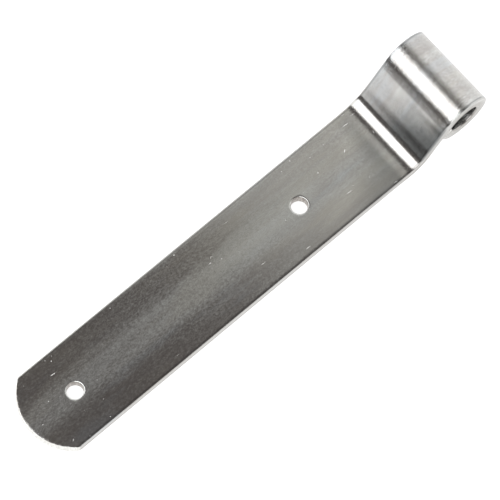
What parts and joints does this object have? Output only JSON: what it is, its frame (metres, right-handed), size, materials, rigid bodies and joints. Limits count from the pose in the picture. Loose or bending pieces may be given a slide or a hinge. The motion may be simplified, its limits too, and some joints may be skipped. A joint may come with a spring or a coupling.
{
  "type": "gate hinge strap",
  "caption": "Cranked flat-bar hinge strap with a rolled eye for a hinge pin and a line of bolt holes, round-sheared at its free end.",
  "frame": {"origin": "middle of the pin bore, on its axis, halfway across the strap", "axes": "+X from the pin out along the strap to its free end; +Y along the pin bore, across the strap; +Z away from the door or gate, out of the strap's show face"},
  "size_m": [0.2091, 0.035, 0.029],
  "materials": {
    "zinc_plated_steel": "bright zinc plating over bent flat bar, with fine lengthwise streaks, scratches and bruised edges"
  },
  "bodies": {
    "root": {"hinge_strap": "zinc_plated_steel"}
  },
  "joints": []
}
